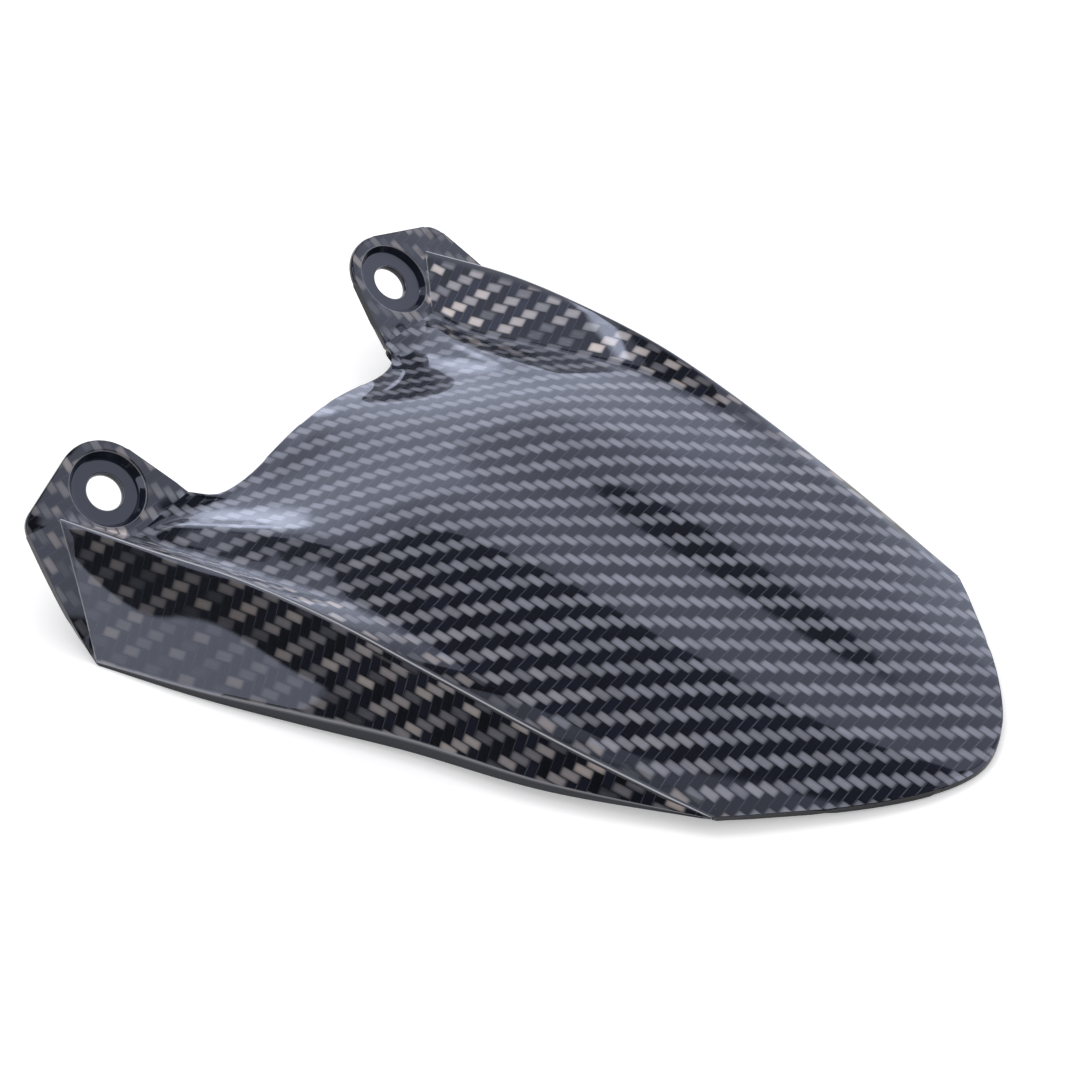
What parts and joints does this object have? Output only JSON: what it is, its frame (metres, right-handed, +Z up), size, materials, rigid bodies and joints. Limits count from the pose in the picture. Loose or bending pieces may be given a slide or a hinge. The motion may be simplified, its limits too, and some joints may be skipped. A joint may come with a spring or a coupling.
{
  "type": "rear hugger mudguard",
  "caption": "Low moulded mudguard for a rear tyre: arched crown with hollow side wings, two lean-back mounting ears in front and a blunt pointed tail.",
  "frame": {"origin": "middle of the footprint, on the surface the part rests on", "axes": "+X towards the tail, +Y towards the side of the left-hand ear as seen from the tail with the part upright, +Z up"},
  "size_m": [0.158, 0.1238, 0.0217],
  "materials": {
    "carbon_laminate": "twill-woven carbon laminate under a clear gloss coat"
  },
  "bodies": {
    "root": {"hugger_shell": "carbon_laminate"}
  },
  "joints": []
}
